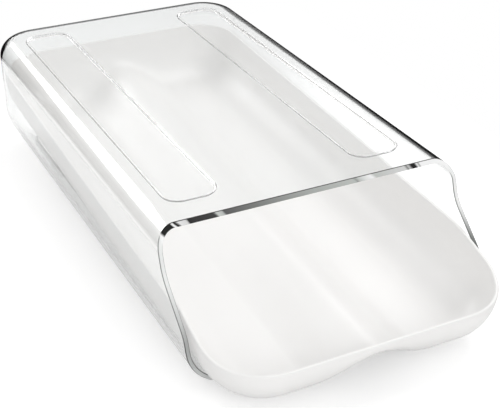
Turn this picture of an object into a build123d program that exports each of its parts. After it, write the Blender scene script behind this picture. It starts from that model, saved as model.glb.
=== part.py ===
from build123d import *

import os
from math import atan2, cos, pi, radians, tan

# Rolling egg dispenser: a clear case, open at the front, and a white tray with two sloping
# lanes that slides in it. Millimetres, +X to the right, +Y to the back, +Z up. The origin is
# on the surface that the case stands on, under the middle of the whole object.

# Case: outer size and wall
case_width = 162.0
case_height = 69.0
case_length = 308.0
case_wall = 2.2
case_top_radius = 11.0
case_bottom_radius = 24.0
case_back_radius = 25.0

# Case: front edge of its sides, from the step over the floor's front edge up to the top. Each
# setback is from the point below it, and each drop is from the top
step_height = 26.8
shoulder_setback = 25.0
shoulder_drop = 20.2
neck_setback = 3.5
neck_drop = 9.0
top_setback = 6.7
step_radius = 15.0
shoulder_radius = 20.0
neck_radius = 12.0
lip_radius = 1.0
mouth_round = 0.5

# Stacking: recesses in the top, and the feet that stand in them
recess_width = 27.4
recess_depth = 1.4
recess_radius = 9.0
recess_side_margin = 16.1
recess_front_margin = 18.8
recess_back_margin = 21.0
foot_height = 2.0
foot_clearance = 0.8

# Tray: wall, running gaps and overhang in front of the case's floor
tray_wall = 1.8
tray_side_gap = 0.75
tray_back_gap = 0.8
tray_floor_gap = 0.4
tray_overhang = 37.0
tray_front_radius = 31.0
tray_back_radius = 25.5
lane_slope = 2.8
lane_radius = 25.0

# Tray: ridge between the two lanes, and the number of sections on each side that shape it
ridge_height = 14.6
ridge_half_width = 31.0
ridge_sections = 20

# Tray: rim above its underside, level over the nose and then rising to the sides. Each bend
# of the rise starts and ends this far from its corner
rim_front_height = 25.0
rim_side_height = 34.6
rim_back_height = 32.6
rim_rise_start = 13.0
rim_rise_end = 54.0
rim_blend = 11.0
rim_round = 0.7

# Tray: runner ribs on the case's floor, beside the hollows of the feet
rib_thickness = 1.8
rib_side_margin = 7.5
rib_front_margin = 60.0
rib_back_margin = 30.0
rib_gap = 0.3

# Cuts run this far past what they cut
cut_margin = 2.0

# Places worked out from the sizes above
back_y = (case_length + tray_overhang) / 2
case_front_y = back_y - case_length
case_top_front_y = case_front_y + shoulder_setback + neck_setback + top_setback
case_bottom_z = foot_height
case_top_z = foot_height + case_height
floor_z = case_bottom_z + case_wall
blank_top_z = case_top_z + cut_margin
tray_front_y = case_front_y - tray_overhang
tray_back_y = back_y - case_wall - tray_back_gap
tray_half_width = case_width / 2 - case_wall - tray_side_gap
lane_middle_x = tray_half_width / 2
recess_front_y = case_top_front_y + recess_front_margin
recess_back_y = back_y - recess_back_margin
recess_length = recess_back_y - recess_front_y
recess_x = case_width / 2 - recess_side_margin - recess_width / 2
recess_y = (recess_front_y + recess_back_y) / 2
rib_x = recess_x - recess_width / 2 - rib_side_margin

os.makedirs("parts", exist_ok=True)


def underside_z(y, inset=0.0):
    """Height of the tray's underside at y, or of a surface parallel to it, inset above it."""
    slope = radians(lane_slope)
    start = floor_z + tray_floor_gap + inset / cos(slope)
    return start + tan(slope) * (y - case_front_y)


def ridge_rise(x):
    """Height of the ridge above the lane bottoms, x from the middle."""
    if abs(x) >= ridge_half_width:
        return 0.0
    return ridge_height * cos(pi * x / (2 * ridge_half_width)) ** 2


def case_block(inset):
    """The case's rounded block, inset from its outer faces. The cavity runs out at the front."""
    length = case_length if inset == 0 else case_length + tray_overhang
    with BuildPart() as block:
        with BuildSketch(Plane.XY.offset(case_bottom_z + inset)) as plan:
            with Locations((0, back_y - inset)):
                Rectangle(case_width - 2 * inset, length, align=(Align.CENTER, Align.MAX))
            fillet(plan.vertices().group_by(Axis.Y)[-1], case_back_radius - inset)
        extrude(amount=case_height - 2 * inset)
        # All edges but the front one, of the top and then of the bottom
        top_edges = block.faces().sort_by(Axis.Z)[-1].edges().sort_by(Axis.Y)[1:]
        fillet(top_edges, case_top_radius - inset)
        bottom_edges = block.faces().sort_by(Axis.Z)[0].edges().sort_by(Axis.Y)[1:]
        fillet(bottom_edges, case_bottom_radius - inset)
    return block.part


def tray_block(inset):
    """The tray's block with its two lanes, inset from its outer faces and open-topped."""
    front = tray_front_y + inset
    back = tray_back_y - inset
    radius = lane_radius - inset
    # Sides, from a rounded block that is cut away between the middles of the lanes
    with BuildPart() as block:
        with BuildSketch(Plane.YZ):
            with BuildLine():
                Polyline(
                    (front, underside_z(front, inset)),
                    (back, underside_z(back, inset)),
                    (back, blank_top_z),
                    (front, blank_top_z),
                    close=True,
                )
            make_face()
        extrude(amount=tray_half_width - inset, both=True)
        corners = block.edges().filter_by(Axis.Z).group_by(Axis.Y)
        fillet(corners[0], tray_front_radius - inset)
        corners = block.edges().filter_by(Axis.Z).group_by(Axis.Y)
        fillet(corners[-1], tray_back_radius - inset)
        fillet(block.faces().sort_by(Axis.Z)[0].edges(), radius)
        Box(2 * lane_middle_x, 2 * case_length, 4 * case_height, mode=Mode.SUBTRACT)
    # Middle, with the ridge
    with BuildPart() as middle:
        for i in range(-ridge_sections, ridge_sections + 1):
            x = lane_middle_x * i / ridge_sections
            rise = ridge_rise(x)
            with BuildSketch(Plane.YZ.offset(x)):
                with BuildLine():
                    path = FilletPolyline(
                        (front, blank_top_z),
                        (front, underside_z(front, inset) + rise),
                        (back, underside_z(back, inset) + rise),
                        (back, blank_top_z),
                        radius=radius - rise,
                    )
                    Line(path @ 1, path @ 0)
                make_face()
        loft()
    return block.part + middle.part


def stack_outline(margin):
    """Sketch of the two long stacking outlines, each grown by margin on every side."""
    with Locations((-recess_x, recess_y), (recess_x, recess_y)):
        RectangleRounded(
            recess_width + 2 * margin, recess_length + 2 * margin, recess_radius + margin
        )


# Case: one clear moulding
outer_case = case_block(0.0)
case_cavity = case_block(case_wall)
with BuildPart() as case:
    add(outer_case)
    # Feet under the floor
    with BuildSketch(Plane.XY):
        stack_outline(-foot_clearance)
    extrude(amount=floor_z)
    # Inside, and the hollow of each foot
    add(case_cavity, mode=Mode.SUBTRACT)
    with BuildSketch(Plane.XY.offset(case_wall)):
        stack_outline(-foot_clearance - case_wall)
    extrude(amount=foot_height + case_wall, mode=Mode.SUBTRACT)
    # Recesses in the top, with the wall carried round them
    with BuildSketch(Plane.XY.offset(case_top_z - case_wall - recess_depth)):
        stack_outline(case_wall / 2)
    extrude(amount=recess_depth + case_wall / 2)
    with BuildSketch(Plane.XY.offset(case_top_z - recess_depth)):
        stack_outline(0.0)
    extrude(amount=recess_depth + cut_margin, mode=Mode.SUBTRACT)
    # Mouth: the front is cut to the sides' swept edge, and the edges of the cut are rounded
    with BuildSketch(Plane.YZ):
        with BuildLine():
            shoulder_y = case_front_y + shoulder_setback
            edge = FilletPolyline(
                (case_front_y, -cut_margin),
                (case_front_y, case_bottom_z + step_height),
                (shoulder_y, case_top_z - shoulder_drop),
                (shoulder_y + neck_setback, case_top_z - neck_drop),
                (case_top_front_y, case_top_z),
                (case_top_front_y, blank_top_z),
                radius=(step_radius, shoulder_radius, neck_radius, lip_radius),
            )
            Polyline(
                edge @ 1, (tray_front_y, blank_top_z), (tray_front_y, -cut_margin), edge @ 0
            )
        make_face()
    extrude(amount=case_width, both=True, mode=Mode.SUBTRACT)
    fillet(case.edges(Select.NEW), mouth_round)
case.part.label = "case"

# Egg tray: one white moulding
outer_tray = tray_block(0.0)
tray_cavity = tray_block(tray_wall)
with BuildPart() as egg_tray:
    add(outer_tray)
    add(tray_cavity, mode=Mode.SUBTRACT)
    # Rim: the top is cut low at the nose and rising to the back, and its edges are rounded
    rim_start_z = underside_z(tray_front_y) + rim_front_height
    rim_side_z = underside_z(tray_front_y + rim_rise_end) + rim_side_height
    rim_back_z = underside_z(tray_back_y) + rim_back_height
    rise_angle = atan2(rim_side_z - rim_start_z, rim_rise_end - rim_rise_start)
    side_length = tray_back_y - tray_front_y - rim_rise_end
    side_angle = atan2(rim_back_z - rim_side_z, side_length)
    rise_radius = rim_blend / tan(rise_angle / 2)
    crest_radius = rim_blend / tan((rise_angle - side_angle) / 2)
    with BuildSketch(Plane.YZ):
        with BuildLine():
            rim = FilletPolyline(
                (tray_front_y - cut_margin, rim_start_z),
                (tray_front_y + rim_rise_start, rim_start_z),
                (tray_front_y + rim_rise_end, rim_side_z),
                (tray_back_y + cut_margin, rim_back_z),
                radius=(rise_radius, crest_radius),
            )
            Polyline(
                rim @ 1,
                (tray_back_y + cut_margin, blank_top_z + cut_margin),
                (tray_front_y - cut_margin, blank_top_z + cut_margin),
                rim @ 0,
            )
        make_face()
    extrude(amount=case_width, both=True, mode=Mode.SUBTRACT)
    fillet(egg_tray.edges(Select.NEW), rim_round)
    # Runner ribs under the lanes
    rib_front_y = tray_front_y + rib_front_margin
    rib_back_y = tray_back_y - rib_back_margin
    rib_bottom_z = floor_z + rib_gap
    for side in (-1, 1):
        with BuildSketch(Plane.YZ.offset(side * rib_x)):
            with BuildLine():
                Polyline(
                    (rib_front_y, rib_bottom_z),
                    (rib_back_y, rib_bottom_z),
                    (rib_back_y, underside_z(rib_back_y, tray_wall / 2)),
                    (rib_front_y, underside_z(rib_front_y, tray_wall / 2)),
                    close=True,
                )
            make_face()
        extrude(amount=rib_thickness / 2, both=True)
egg_tray.part.label = "egg_tray"

export_step(case.part, "parts/case.step")
export_step(egg_tray.part, "parts/egg_tray.step")
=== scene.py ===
from math import cos, pi, radians, sin, tan

import bmesh
import bpy
from mathutils import Matrix, Vector


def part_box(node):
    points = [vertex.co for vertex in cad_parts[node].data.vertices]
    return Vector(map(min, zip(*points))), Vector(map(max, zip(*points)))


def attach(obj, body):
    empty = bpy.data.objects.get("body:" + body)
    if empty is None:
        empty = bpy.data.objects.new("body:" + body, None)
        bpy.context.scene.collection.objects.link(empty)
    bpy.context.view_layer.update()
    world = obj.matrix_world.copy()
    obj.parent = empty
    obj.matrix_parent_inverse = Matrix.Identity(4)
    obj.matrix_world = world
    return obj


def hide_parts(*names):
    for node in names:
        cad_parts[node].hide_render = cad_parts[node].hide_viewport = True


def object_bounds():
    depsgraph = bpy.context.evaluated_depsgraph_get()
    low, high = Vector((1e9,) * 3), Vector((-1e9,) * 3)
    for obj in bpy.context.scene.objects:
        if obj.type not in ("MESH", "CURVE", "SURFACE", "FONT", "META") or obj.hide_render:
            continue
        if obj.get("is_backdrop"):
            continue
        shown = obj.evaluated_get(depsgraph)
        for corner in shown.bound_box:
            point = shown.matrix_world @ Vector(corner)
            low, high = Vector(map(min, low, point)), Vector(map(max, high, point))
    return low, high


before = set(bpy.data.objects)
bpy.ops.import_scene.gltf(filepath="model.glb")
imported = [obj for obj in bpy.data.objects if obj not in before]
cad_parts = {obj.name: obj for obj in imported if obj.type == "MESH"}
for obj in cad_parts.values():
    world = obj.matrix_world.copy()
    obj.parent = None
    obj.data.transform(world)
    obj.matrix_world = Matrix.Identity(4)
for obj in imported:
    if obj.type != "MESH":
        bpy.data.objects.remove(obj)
cad_low, cad_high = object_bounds()

# Clear case: the outer shell, one polished moulding of clear plastic, open at the front. Its
# front edge is a bare wall edge, which sweeps forward and down from the top to the floor. Two
# long recesses are sunk in its top, for the feet of another case, and two feet stand below.
case_low, case_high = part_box("case")
case_wall = 0.0022
case_top_radius = 0.011
case_bottom_radius = 0.024
case_back_radius = 0.025
foot_height = 0.002

# Corners of the mouth's edge, as setback from the floor's front edge and height over the
# underside of the case, each with the radius of its bend
case_underside = case_low.z + foot_height
case_height = case_high.z - case_underside
mouth_corners = [
    (0.0, 0.0268, 0.015),
    (0.025, case_height - 0.0202, 0.020),
    (0.0285, case_height - 0.009, 0.012),
    (0.0352, case_height, 0.001),
]
mouth_round = 0.0005

# Recesses in the top, and the feet that stand in them
recess_width = 0.0274
recess_radius = 0.009
recess_depth = 0.0014
recess_side_margin = 0.0161
recess_front_margin = 0.0188
recess_back_margin = 0.021
recess_round = 0.0006
recess_pad_margin = 0.0011
foot_clearance = 0.0008
foot_round = 0.0006

# Number of steps in the mesh's rounds and bends, and of slices up the sides at the mouth
back_steps = 20
top_steps = 14
bottom_steps = 16
bend_steps = 8
edge_steps = 3
mouth_slices = 20

top_front_y = case_low.y + mouth_corners[-1][0]
recess_front_y = top_front_y + recess_front_margin
recess_back_y = case_high.y - recess_back_margin
recess_x = case_high.x - recess_side_margin - recess_width / 2
recess_y = (recess_front_y + recess_back_y) / 2
recess_length = recess_back_y - recess_front_y


def rounded_line(corners):
    """Points along the line through the corners, each bend an arc of its own radius."""
    below = Vector(corners[0][:2]) - Vector((0, 1))
    above = Vector(corners[-1][:2]) + Vector((0, 1))
    ends = [below, *(Vector(corner[:2]) for corner in corners), above]
    points = [below]
    for before, corner, after, (_, _, radius) in zip(ends, ends[1:], ends[2:], corners):
        back = (before - corner).normalized()
        on = (after - corner).normalized()
        half = back.angle(on) / 2
        centre = corner + (back + on).normalized() * radius / sin(half)
        start = corner + back * radius / tan(half) - centre
        turn = (pi - 2 * half) * (1 if back.cross(on) < 0 else -1)
        for i in range(bend_steps + 1):
            points.append(centre + Matrix.Rotation(turn * i / bend_steps, 2) @ start)
    return points + [above]


mouth_line = rounded_line(mouth_corners)


def mouth_y(z):
    """Place of the mouth's edge at height z."""
    height = z - case_underside
    for low, high in zip(mouth_line, mouth_line[1:]):
        if low.y <= height <= high.y:
            share = (height - low.y) / max(high.y - low.y, 1e-9)
            return case_low.y + low.x + share * (high.x - low.x)
    return top_front_y


def add_block(bm, low, high):
    """Adds a plain block between two corners, and returns its vertices."""
    made = bmesh.ops.create_cube(bm, size=1)["verts"]
    bmesh.ops.scale(bm, vec=high - low, verts=made)
    bmesh.ops.translate(bm, vec=(low + high) / 2, verts=made)
    return made


def upright_edges(bm, at_front):
    """The upright edges of a block, at its front or at its back."""
    least = case_high.z / 4
    upright = [e for e in bm.edges if abs(e.verts[0].co.z - e.verts[1].co.z) > least]
    return [e for e in upright if (e.verts[0].co.y < 0) == at_front]


up = Vector((0, 0, 1))
forward = Vector((0, -1, 0))


def faces_towards(bm, way, least=0.99):
    """The faces that look that way. least is the cosine of the widest angle from it."""
    return [f for f in bm.faces if f.normal.dot(way) > least]


def round_edges(bm, edges, radius, steps):
    """Rounds edges to an arc of that radius, and returns the faces of the rounding."""
    made = bmesh.ops.bevel(
        bm, geom=edges, offset=radius, offset_type="OFFSET", segments=steps, profile=0.5,
        affect="EDGES", clamp_overlap=False, material=-1, loop_slide=True,
    )
    return made["faces"]


def slice_faces(bm, faces, point, normal):
    """Cuts these faces along a plane, and returns the pieces behind it."""
    faces = [f for f in faces if f.is_valid]
    edges = {e for f in faces for e in f.edges}
    verts = {v for f in faces for v in f.verts}
    cut = bmesh.ops.bisect_plane(
        bm, geom=[*faces, *edges, *verts], dist=1e-7, plane_co=point, plane_no=normal
    )
    point, normal = Vector(point), Vector(normal)
    made = [g for g in cut["geom"] if isinstance(g, bmesh.types.BMFace)]
    return [f for f in made if (f.calc_center_median() - point).dot(normal) < 0]


def imprint(bm, faces, x, margin):
    """Cuts the recess's outline, grown by margin, into faces, and returns what lies in it."""
    radius = recess_radius + margin
    for quarter in range(4):
        turn = radians(90 * quarter)
        corner = Vector((cos(turn) - sin(turn), sin(turn) + cos(turn)))
        centre_x = x + corner.x * (recess_width / 2 - recess_radius)
        centre_y = recess_y + corner.y * (recess_length / 2 - recess_radius)
        for i in range(bend_steps + 1):
            angle = turn + radians(90) * i / bend_steps
            normal = (cos(angle), sin(angle), 0)
            at_end = i in (0, bend_steps)
            reach = radius if at_end else radius / cos(radians(45) / bend_steps)
            point = (centre_x + reach * normal[0], centre_y + reach * normal[1], 0)
            faces = slice_faces(bm, faces, point, normal)
    return faces


def sink(bm, faces):
    """Moves faces down by the recess's depth, down a steep wall with rounds at top and foot."""
    round_steps = 5
    slope = radians(80)
    angles = [slope * i / round_steps for i in range(1, round_steps + 1)]
    upper = [(recess_round * sin(a), recess_round * (1 - cos(a))) for a in angles]
    width, level = upper[-1]
    wall_width = 2 * (width + (recess_depth / 2 - level) / tan(slope))
    lower = [(wall_width - w, recess_depth - d) for w, d in upper[::-1]]
    width, level = 0.0, 0.0
    for new_width, new_level in (*upper, *lower, (wall_width, recess_depth)):
        bmesh.ops.inset_region(
            bm, faces=faces, thickness=new_width - width, use_even_offset=True
        )
        for v in {v for f in faces for v in f.verts}:
            v.co.z -= new_level - level
        width, level = new_width, new_level


def draw_down(bm, faces, z):
    """Draws faces out downwards to one flat face at height z, and returns it in a list."""
    made = bmesh.ops.extrude_face_region(bm, geom=faces)["geom"]
    bmesh.ops.delete(bm, geom=faces, context="FACES")
    drawn = [g for g in made if isinstance(g, bmesh.types.BMFace)]
    for v in {v for f in drawn for v in f.verts}:
        v.co.z = z
    return bmesh.ops.dissolve_faces(bm, faces=drawn)["region"]


def case_skin(inset):
    """One skin of the case, open at the mouth. inset is its distance from the outer faces."""
    bm = bmesh.new()
    low = Vector((case_low.x + inset, case_low.y, case_underside + inset))
    high = case_high - Vector((inset, inset, inset))
    add_block(bm, low, high)
    round_edges(bm, upright_edges(bm, False), case_back_radius - inset, back_steps)
    for way, radius, steps in (
        (up, case_top_radius, top_steps),
        (-up, case_bottom_radius, bottom_steps),
    ):
        flat = faces_towards(bm, way)[0]
        rim = [e for e in flat.edges if max(v.co.y for v in e.verts) > low.y + 1e-5]
        round_edges(bm, rim, radius - inset, steps)
    bmesh.ops.delete(bm, geom=faces_towards(bm, forward), context="FACES")
    # Slices that give the sides enough points for the mouth's edge
    side_low = case_underside + case_bottom_radius
    side_high = case_high.z - case_top_radius
    for i in range(1, mouth_slices):
        z = side_low + (side_high - side_low) * i / mouth_slices
        slice_faces(bm, list(bm.faces), (0, 0, z), (0, 0, 1))
    for v in bm.verts:
        if v.is_boundary:
            v.co.y = mouth_y(v.co.z)
    return bm


def join_skins(outer, inner, edge_round, edge_material=0):
    """Adds the inner skin to the outer one, and closes the wall between them with a round edge."""
    mesh = bpy.data.meshes.new("inner_skin")
    inner.to_mesh(mesh)
    inner.free()
    outer.from_mesh(mesh)
    bpy.data.meshes.remove(mesh)
    rings = [e for e in outer.edges if e.is_boundary]
    wall = set(bmesh.ops.bridge_loops(outer, edges=rings)["faces"])
    bmesh.ops.recalc_face_normals(outer, faces=outer.faces)
    rings = [e for e in outer.edges if len(wall.intersection(e.link_faces)) == 1]
    for f in wall:
        f.material_index = edge_material
    for f in round_edges(outer, rings, edge_round, edge_steps):
        f.material_index = edge_material


def finished_piece(bm, name, *materials):
    """An object of the mesh, smooth but for its sharp edges, with flat faces kept flat."""
    bmesh.ops.recalc_face_normals(bm, faces=bm.faces)
    mesh = bpy.data.meshes.new(name)
    bm.to_mesh(mesh)
    bm.free()
    mesh.shade_smooth()
    mesh.set_sharp_from_angle(angle=radians(50))
    for material in materials:
        mesh.materials.append(material)
    piece = bpy.data.objects.new(name, mesh)
    bpy.context.scene.collection.objects.link(piece)
    flats = piece.modifiers.new("flats", "WEIGHTED_NORMAL")
    flats.keep_sharp = True
    return piece


# The feet reach out into the rounding beside the flat of the floor
least_down = 0.3
case_outer = case_skin(0.0)
case_inner = case_skin(case_wall)
for x in (-recess_x, recess_x):
    # Recess in the top, and the floor of the recess on the inside
    for skin, margin in ((case_outer, 0.0), (case_inner, recess_pad_margin)):
        sink(skin, imprint(skin, faces_towards(skin, up), x, margin))
    # Foot under the floor, and its hollow
    below = faces_towards(case_outer, -up, least_down)
    sole = imprint(case_outer, below, x, -foot_clearance)
    sole = draw_down(case_outer, sole, case_low.z + foot_round)
    bmesh.ops.inset_region(case_outer, faces=sole, thickness=foot_round, use_even_offset=True)
    for v in {v for f in sole for v in f.verts}:
        v.co.z = case_low.z
    floor = faces_towards(case_inner, -up, least_down)
    hollow = imprint(case_inner, floor, x, -foot_clearance - case_wall)
    draw_down(case_inner, hollow, case_low.z + case_wall)
join_skins(case_outer, case_inner, mouth_round, edge_material=1)


def new_material(name):
    """A material with its node tree and its shader."""
    material = bpy.data.materials.new(name)
    material.use_nodes = True
    tree = material.node_tree
    return material, tree, tree.nodes["Principled BSDF"]


def feed(tree, socket, value):
    """Gives a socket a number, a colour, or another node's value."""
    if isinstance(value, bpy.types.NodeSocket):
        tree.links.new(value, socket)
    elif isinstance(value, tuple):
        socket.default_value = (*value, 1)
    else:
        socket.default_value = value


def join_values(tree, operation, *values):
    """A sum, product or other step of values, each a number or another node's."""
    step = tree.nodes.new("ShaderNodeMath")
    step.operation = operation
    for socket, value in zip(step.inputs, values):
        feed(tree, socket, value)
    return step.outputs[0]


def mix_colours(tree, factor, first, second):
    """A mix of two colours, each plain or another node's."""
    mix = tree.nodes.new("ShaderNodeMix")
    mix.data_type = "RGBA"
    for name, value in (("Factor", factor), ("A", first), ("B", second)):
        feed(tree, mix.inputs[name], value)
    return mix.outputs["Result"]


def map_value(tree, value, low, high, new_low=0.0, new_high=1.0):
    """A value spread smoothly from one range to another."""
    spread = tree.nodes.new("ShaderNodeMapRange")
    spread.interpolation_type = "SMOOTHSTEP"
    for socket, given in zip(spread.inputs, (value, low, high, new_low, new_high)):
        feed(tree, socket, given)
    return spread.outputs["Result"]


def split_axes(tree, vector):
    """The X, Y and Z of a vector."""
    axes = tree.nodes.new("ShaderNodeSeparateXYZ")
    feed(tree, axes.inputs[0], vector)
    return axes.outputs


def moulded_surface():
    """Node group: the slow swells and fine grain that a mould leaves in a plastic skin."""
    group = bpy.data.node_groups.new("moulded_surface", "ShaderNodeTree")
    for name in ("Swell Length", "Swell Height", "Grain Length", "Grain Height"):
        group.interface.new_socket(name, in_out="INPUT", socket_type="NodeSocketFloat")
    for name in ("Cloud", "Grain"):
        group.interface.new_socket(name, in_out="OUTPUT", socket_type="NodeSocketFloat")
    group.interface.new_socket("Normal", in_out="OUTPUT", socket_type="NodeSocketVector")
    given = group.nodes.new("NodeGroupInput")
    result = group.nodes.new("NodeGroupOutput")
    place = group.nodes.new("ShaderNodeTexCoord")
    last_bump = None
    for kind, detail, output in (("Swell", 1.0, "Cloud"), ("Grain", 2.0, "Grain")):
        noise = group.nodes.new("ShaderNodeTexNoise")
        per_metre = join_values(group, "DIVIDE", 1.0, given.outputs[kind + " Length"])
        feed(group, noise.inputs["Vector"], place.outputs["Object"])
        feed(group, noise.inputs["Scale"], per_metre)
        feed(group, noise.inputs["Detail"], detail)
        bump = group.nodes.new("ShaderNodeBump")
        feed(group, bump.inputs["Distance"], given.outputs[kind + " Height"])
        feed(group, bump.inputs["Height"], noise.outputs["Fac"])
        if last_bump:
            feed(group, bump.inputs["Normal"], last_bump.outputs["Normal"])
        feed(group, result.inputs[output], noise.outputs["Fac"])
        last_bump = bump
    feed(group, result.inputs["Normal"], last_bump.outputs["Normal"])
    return group


moulded = moulded_surface()


def add_surface(tree, swell_length, swell_height, grain_length, grain_height):
    """The moulded surface's outputs, with its sizes in metres."""
    surface = tree.nodes.new("ShaderNodeGroup")
    surface.node_tree = moulded
    sizes = (swell_length, swell_height, grain_length, grain_height)
    for socket, size in zip(surface.inputs, sizes):
        socket.default_value = size
    return surface.outputs


def spread_by_grain(tree, surface, low, high):
    """A value that the grain takes from low to high."""
    return map_value(tree, surface["Grain"], 0.3, 0.7, low, high)


# Clear plastic, a little uneven in its tint and gloss
light_tint = (0.985, 0.99, 0.988)
deep_tint = (0.97, 0.98, 0.978)
most_inner_reflections = 2
clear, tree, plastic = new_material("clear_plastic")
surface = add_surface(
    tree, swell_length=0.045, swell_height=0.000005, grain_length=0.0012, grain_height=0.0000002
)
tint = mix_colours(tree, surface["Cloud"], light_tint, deep_tint)
feed(tree, plastic.inputs["Base Color"], tint)
feed(tree, plastic.inputs["Roughness"], spread_by_grain(tree, surface, 0.0, 0.02))
feed(tree, plastic.inputs["Normal"], surface["Normal"])
feed(tree, plastic.inputs["Transmission Weight"], 1.0)
feed(tree, plastic.inputs["IOR"], 1.5)

# Soft light and shadows pass straight through, and so does light that is trapped in the wall
open_way = tree.nodes.new("ShaderNodeBsdfTransparent")
light_path = tree.nodes.new("ShaderNodeLightPath").outputs
trapped = join_values(
    tree, "GREATER_THAN", light_path["Glossy Depth"], most_inner_reflections + 0.5
)
soft = join_values(tree, "MAXIMUM", light_path["Is Diffuse Ray"], trapped)
straight_on = join_values(tree, "MAXIMUM", light_path["Is Shadow Ray"], soft)
pick = tree.nodes.new("ShaderNodeMixShader")
for socket, value in zip(pick.inputs, (straight_on, plastic.outputs[0], open_way.outputs[0])):
    feed(tree, socket, value)
feed(tree, tree.nodes["Material Output"].inputs["Surface"], pick.outputs[0])

# The cut edge of the wall gathers the light that runs inside the plastic, which the render doesn't
# follow, so that light is painted into the edge's colour as glints and reflections. Along the top
# it is painted dark and broken by white glints on the left, grey-green in the middle and pale on
# the right. Down the sides it is painted pale, and grey lower down
edge, tree, plastic = new_material("clear_plastic_edge")
surface = add_surface(
    tree, swell_length=0.011, swell_height=0.00002, grain_length=0.0006, grain_height=0.0000005
)
place = tree.nodes.new("ShaderNodeTexCoord")
spot = split_axes(tree, place.outputs["Object"])
facing = split_axes(tree, place.outputs["Normal"])
height = spot["Z"]

# Top: each painted band of glint or reflection, its place to the right of the middle, and its
# brightness. The painted bands are cut slantwise and a little unevenly, and a thin painted dark
# line runs over them on the upper round
painted_edge_glints = [
    (-0.0790, 0.90), (-0.0775, 0.90), (-0.0770, 0.012), (-0.0700, 0.012), (-0.0697, 0.80),
    (-0.0688, 0.80), (-0.0685, 0.015), (-0.0672, 0.015), (-0.0668, 0.75), (-0.0630, 0.65),
    (-0.0620, 0.025), (-0.0490, 0.05), (-0.0480, 0.55), (-0.0450, 0.45), (-0.0440, 0.10),
    (-0.0280, 0.18), (0.0000, 0.36), (0.0250, 0.46), (0.0260, 0.28), (0.0275, 0.50),
    (0.0350, 0.85), (0.0370, 0.48), (0.0550, 0.62), (0.0562, 0.15), (0.0572, 0.60),
    (0.0585, 0.01), (0.0610, 0.01), (0.0620, 0.80), (0.0632, 0.30), (0.0640, 0.85),
]
slant = 0.8
unevenness = 0.004
green_cast = 1.04
painted_upper_dark_line = (0.02, 0.02, 0.018)
case_width = case_high.x - case_low.x
uneven = join_values(
    tree, "MULTIPLY_ADD", surface["Cloud"], unevenness, -slant * case_high.z
)
slanted = join_values(tree, "MULTIPLY_ADD", height, slant, uneven)
along = join_values(tree, "ADD", spot["X"], slanted)
bands = tree.nodes.new("ShaderNodeValToRGB")
stops = bands.color_ramp.elements
while len(stops) < len(painted_edge_glints):
    stops.new(0.5)
for stop, (x, tone) in zip(stops, painted_edge_glints):
    is_middle_tone = 0.1 < tone < 0.6
    stop.position = x / case_width + 0.5
    stop.color = (tone, tone * (green_cast if is_middle_tone else 1.0), tone, 1)
feed(tree, bands.inputs["Fac"], join_values(tree, "MULTIPLY_ADD", along, 1 / case_width, 0.5))
# Painted dark line on the upper round of the lip, picked by the round's normal
upper_round = map_value(tree, facing["Z"], 0.78, 0.92)
top_edge = mix_colours(tree, upper_round, bands.outputs["Color"], painted_upper_dark_line)

# Sides: painted reflections, pale at the foot, grey above it and pale again higher up, between
# two painted lines on the rounds that are dark low down, and painted dark at the foot on the right
painted_foot_reflection = (0.62, 0.63, 0.625)
painted_middle_reflection = (0.42, 0.43, 0.425)
painted_upper_reflection = (0.80, 0.81, 0.805)
painted_low_dark_line = (0.06, 0.06, 0.06)
painted_high_grey_line = (0.28, 0.285, 0.28)
painted_right_foot_dark = (0.10, 0.105, 0.10)
sides = mix_colours(tree, map_value(tree, height, 0.008, 0.026), painted_foot_reflection, painted_middle_reflection)
sides = mix_colours(tree, map_value(tree, height, 0.026, 0.052), sides, painted_upper_reflection)
lines = mix_colours(tree, map_value(tree, height, 0.020, 0.050), painted_low_dark_line, painted_high_grey_line)
on_line = map_value(tree, join_values(tree, "ABSOLUTE", facing["X"]), 0.25, 0.55)
sides = mix_colours(tree, on_line, sides, lines)
# Painted dark patch at the foot of the right side
on_right = join_values(tree, "GREATER_THAN", spot["X"], 0.0)
low_down = map_value(tree, height, 0.030, 0.050, 1.0, 0.0)
right_foot = join_values(tree, "MULTIPLY", low_down, on_right)
sides = mix_colours(tree, right_foot, sides, painted_right_foot_dark)
from_middle = join_values(tree, "ABSOLUTE", spot["X"])
outermost = map_value(tree, from_middle, case_width / 2 - 0.0035, case_width / 2 - 0.002)
below_top = map_value(tree, height, 0.034, 0.040, 1.0, 0.0)
on_side = join_values(tree, "MAXIMUM", outermost, below_top)
feed(tree, plastic.inputs["Base Color"], mix_colours(tree, on_side, top_edge, sides))
feed(tree, plastic.inputs["Normal"], surface["Normal"])
feed(tree, plastic.inputs["Roughness"], 0.08)
feed(tree, plastic.inputs["Specular IOR Level"], 0.2)
feed(tree, plastic.inputs["IOR"], 1.5)

case_piece = finished_piece(case_outer, "clear_case", clear, edge)
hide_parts("case")
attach(case_piece, "case")

# Egg tray: one white moulding with a rounded nose, two sloping lanes and a ridge between them.
# Its rim is low over the nose and rises to the sides, and two ribs under it run on the case's
# floor.
tray_low, tray_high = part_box("egg_tray")
tray_wall = 0.0018
tray_front_radius = 0.031
tray_back_radius = 0.0255
tray_floor_gap = 0.0004
lane_radius = 0.025
lane_slope = tan(radians(2.8))
ridge_height = 0.0146
ridge_half_width = 0.031

# Rim: how far from the nose its rise starts and ends, and its heights above the underside
rim_rise_start = 0.013
rim_rise_end = 0.054
rim_front_height = 0.025
rim_side_height = 0.0346
rim_back_height = 0.0326
rim_blend = 0.011
rim_round = 0.0007
rim_clearance = 0.0012

# Runner ribs, beside the hollows of the feet
rib_thickness = 0.0018
rib_side_margin = 0.0075
rib_front_margin = 0.060
rib_back_margin = 0.030
rib_gap = 0.0003

# Number of steps in the mesh's rounds, and of slices at the rim's rise and over the ridge
nose_corner_steps = 22
back_corner_steps = 18
lane_steps = 16
rim_slices = 24
rim_sliced_length = 0.080
ridge_slices = 24

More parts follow.
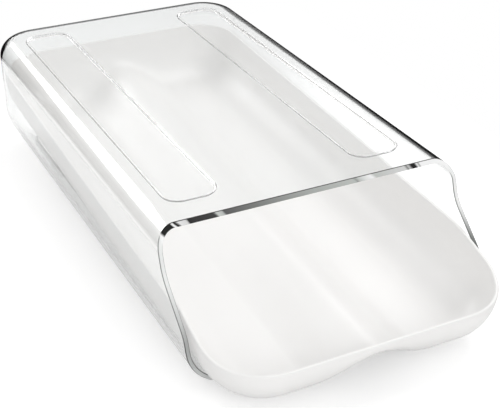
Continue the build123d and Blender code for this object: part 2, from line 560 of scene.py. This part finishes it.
rib_x = recess_x - recess_width / 2 - rib_side_margin
rib_front = tray_low.y + rib_front_margin
rib_back = tray_high.y - rib_back_margin
case_floor = case_underside + case_wall


def underside(y, inset=0.0):
    """Height of the tray's underside at y, or of a surface parallel to it, inset above it."""
    start = case_floor + tray_floor_gap + inset * (1 + lane_slope**2) ** 0.5
    return start + lane_slope * (y - case_low.y)


nose_rim_z = underside(tray_low.y) + rim_front_height
side_rim_z = underside(tray_low.y + rim_rise_end) + rim_side_height
back_rim_z = underside(tray_high.y) + rim_back_height


def rim_z(y):
    """Height of the rim at y: level over the nose, then rising, then along the sides."""
    from_front = y - tray_low.y
    length = tray_high.y - tray_low.y
    rise = (side_rim_z - nose_rim_z) / (rim_rise_end - rim_rise_start)
    side = (back_rim_z - side_rim_z) / (length - rim_rise_end)
    height = nose_rim_z
    for corner, before, after in ((rim_rise_start, 0.0, rise), (rim_rise_end, rise, side)):
        # A parabola of the blend's length takes the line from one slope to the next
        past = from_front - corner
        t = min(max((past + rim_blend) / (2 * rim_blend), 0.0), 1.0)
        height += (after - before) * (rim_blend * t * t + max(past - rim_blend, 0.0))
    return height


def tray_skin(inset):
    """One skin of the tray, open at the rim. inset is its distance from the outer faces."""
    bm = bmesh.new()
    low = Vector((tray_low.x + inset, tray_low.y + inset, 0))
    high = Vector((tray_high.x - inset, tray_high.y - inset, case_high.z))
    for v in add_block(bm, low, high):
        if v.co.z < high.z / 2:
            v.co.z = underside(v.co.y, inset)
    round_edges(bm, upright_edges(bm, True), tray_front_radius - inset, nose_corner_steps)
    round_edges(bm, upright_edges(bm, False), tray_back_radius - inset, back_corner_steps)
    radius = lane_radius - inset
    floor = faces_towards(bm, -up)[0]
    round_edges(bm, list(floor.edges), radius, lane_steps)
    bmesh.ops.delete(bm, geom=faces_towards(bm, up), context="FACES")
    # Slices across, for the rim's rise, and along, for the ridge
    for i in range(1, rim_slices):
        y = tray_low.y + rim_sliced_length * i / rim_slices
        slice_faces(bm, list(bm.faces), (0, y, 0), (0, 1, 0))
    for i in range(ridge_slices + 1):
        x = ridge_half_width * (2 * i / ridge_slices - 1)
        slice_faces(bm, list(bm.faces), (x, 0, 0), (1, 0, 0))
    for v in bm.verts:
        if v.is_boundary:
            v.co.z = rim_z(v.co.y)
            continue
        level = underside(v.co.y, inset) + radius
        if abs(v.co.x) < ridge_half_width and v.co.z < level:
            # The ridge lifts the floor, and the bends into the walls get tighter over it
            rise = ridge_height * cos(pi * v.co.x / (2 * ridge_half_width)) ** 2
            share = (radius - rise) / radius
            v.co.z = level - (level - v.co.z) * share
            if v.co.y - low.y < radius:
                v.co.y = low.y + (v.co.y - low.y) * share
            if high.y - v.co.y < radius:
                v.co.y = high.y - (high.y - v.co.y) * share
        # The bend's top stays under the rim
        v.co.z = min(v.co.z, rim_z(v.co.y) - rim_clearance)
    return bm


tray = tray_skin(0.0)
join_skins(tray, tray_skin(tray_wall), rim_round)
for side in (-1, 1):
    low = Vector((side * rib_x - rib_thickness / 2, rib_front, case_floor + rib_gap))
    high = Vector((side * rib_x + rib_thickness / 2, rib_back, case_high.z))
    for v in add_block(tray, low, high):
        if v.co.z > high.z / 2:
            v.co.z = underside(v.co.y, tray_wall / 2)

# White plastic, satin and a little uneven
light_white = (0.855, 0.848, 0.838)
deep_white = (0.83, 0.823, 0.813)
white, tree, plastic = new_material("white_plastic")
surface = add_surface(
    tree, swell_length=0.03, swell_height=0.00001, grain_length=0.0005, grain_height=0.0000003
)
tone = mix_colours(tree, surface["Cloud"], light_white, deep_white)
feed(tree, plastic.inputs["Base Color"], tone)
feed(tree, plastic.inputs["Roughness"], spread_by_grain(tree, surface, 0.30, 0.42))
feed(tree, plastic.inputs["Normal"], surface["Normal"])

tray_piece = finished_piece(tray, "white_egg_tray", white)
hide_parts("egg_tray")
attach(tray_piece, "tray")

# Floor: a plain pale board that takes the object's soft shadow. The camera sees it turn into
# the white background far from the object, and on the right its rim is dark in reflections.
board_half_width = 0.21
board_half_length = 0.30
board_drop = 0.0002
board_colour = (0.88, 0.88, 0.88)
board_dark = (0.01, 0.01, 0.01)
board_glow = 0.3
bpy.ops.mesh.primitive_plane_add(size=1)
floor = bpy.context.object
floor.name = "floor"
floor.scale = (2 * board_half_width, 2 * board_half_length, 1)
floor.location.z = case_low.z - board_drop


def reflected_view(tree):
    """1 where the ray has been mirrored on its way from the camera, else 0."""
    light_path = tree.nodes.new("ShaderNodeLightPath").outputs
    return join_values(tree, "GREATER_THAN", light_path["Glossy Depth"], 0.5)


def straight_view(tree):
    """1 where the ray comes from the camera, straight or through clear plastic, else 0."""
    light_path = tree.nodes.new("ShaderNodeLightPath").outputs
    unreflected = join_values(tree, "SUBTRACT", 1.0, reflected_view(tree))
    through = join_values(tree, "MULTIPLY", light_path["Is Transmission Ray"], unreflected)
    return join_values(tree, "MAXIMUM", light_path["Is Camera Ray"], through)


# Distances from the board's middle are shares of its width and length
paper, tree, matt = new_material("floor_white")
feed(tree, matt.inputs["Roughness"], 0.9)
feed(tree, matt.inputs["Specular IOR Level"], 0.0)
feed(tree, matt.inputs["Emission Color"], (1.0, 1.0, 1.0))
place = tree.nodes.new("ShaderNodeTexCoord").outputs["Object"]
from_middle = tree.nodes.new("ShaderNodeVectorMath")
from_middle.operation = "LENGTH"
feed(tree, from_middle.inputs[0], place)
distance = from_middle.outputs["Value"]
far = map_value(tree, distance, 0.3, 0.49)
straight = straight_view(tree)
glow = join_values(tree, "MULTIPLY_ADD", far, 1 - board_glow, board_glow)
feed(tree, matt.inputs["Emission Strength"], join_values(tree, "MULTIPLY", straight, glow))
on_right = map_value(tree, split_axes(tree, place)["X"], 0.0, 0.15)
at_rim = map_value(tree, distance, 0.34, 0.42)
card = join_values(tree, "MULTIPLY", at_rim, on_right)
dark_card = join_values(tree, "MULTIPLY", reflected_view(tree), card)
plain_far = join_values(tree, "MULTIPLY", straight, far)
shade = join_values(tree, "MAXIMUM", dark_card, plain_far)
feed(tree, matt.inputs["Base Color"], mix_colours(tree, shade, board_colour, board_dark))
floor.data.materials.append(paper)
floor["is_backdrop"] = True

# Studio: white to the camera. Reflections see a white ceiling over a dark room, which is
# lighter behind the object on the right, and soft light comes evenly from all round.
ceiling_white = (0.8, 0.8, 0.8)
room_dark = (0.005, 0.005, 0.005)
room_behind = (0.25, 0.25, 0.25)
soft_light = (0.59, 0.59, 0.59)
background_white = (1.0, 1.0, 1.0)
world = bpy.data.worlds.new("studio")
bpy.context.scene.world = world
world.use_nodes = True
tree = world.node_tree
way = split_axes(tree, tree.nodes.new("ShaderNodeTexCoord").outputs["Generated"])
backwards = map_value(tree, way["Y"], 0.86, 0.98)
rightwards = map_value(tree, way["X"], 0.08, 0.30)
behind = join_values(tree, "MULTIPLY", backwards, rightwards)
horizon = mix_colours(tree, behind, room_dark, room_behind)
upwards = map_value(tree, way["Z"], 0.12, 0.42)
room = mix_colours(tree, upwards, horizon, ceiling_white)
is_diffuse = tree.nodes.new("ShaderNodeLightPath").outputs["Is Diffuse Ray"]
lit = mix_colours(tree, is_diffuse, room, soft_light)
shown = mix_colours(tree, straight_view(tree), lit, background_white)
feed(tree, tree.nodes["Background"].inputs["Color"], shown)

# Lamps: a large soft one above on the right, a strip behind on the left, and two weak ones in
# front and at the side that don't show in reflections. Each points at the object's middle.
for name, place, width, height, watts, is_mirrored in (
    ("key_lamp", (0.75, 0.35, 1.15), 0.8, 0.8, 6.6, True),
    ("back_lamp", (-0.35, 1.05, 0.70), 0.7, 0.42, 3.6, True),
    ("front_lamp", (0.15, -1.3, 0.62), 0.9, 0.5, 5.5, False),
    ("side_lamp", (-0.85, -0.6, 0.35), 0.7, 0.5, 1.5, False),
):
    lamp = bpy.data.lights.new(name, "AREA")
    lamp.shape = "RECTANGLE"
    lamp.size = width
    lamp.size_y = height
    lamp.energy = watts
    holder = bpy.data.objects.new(name, lamp)
    holder.location = place
    aim = (cad_low + cad_high) / 2 - Vector(place)
    holder.rotation_euler = aim.to_track_quat("-Z", "Y").to_euler()
    holder.visible_glossy = is_mirrored
    bpy.context.scene.collection.objects.link(holder)

# Camera: at the place and angle that the photo was taken from, found from the case's straight
# edges and its recesses.
camera_place = Vector((-0.23676, -0.51217, 0.33197))
camera_azimuth = radians(-26.48)
camera_elevation = radians(29.59)
photo_width = 500
focal_pixels = 1135.5
camera = bpy.data.cameras.new("camera")
camera.sensor_width = 36
camera.lens = camera.sensor_width * focal_pixels / photo_width
camera.clip_start = 0.01
holder = bpy.data.objects.new("camera", camera)
holder.location = camera_place
holder.rotation_euler = (radians(90) - camera_elevation, 0, camera_azimuth)
bpy.context.scene.collection.objects.link(holder)
bpy.context.scene.camera = holder
bpy.context.scene.view_settings.view_transform = "Standard"

low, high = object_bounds()
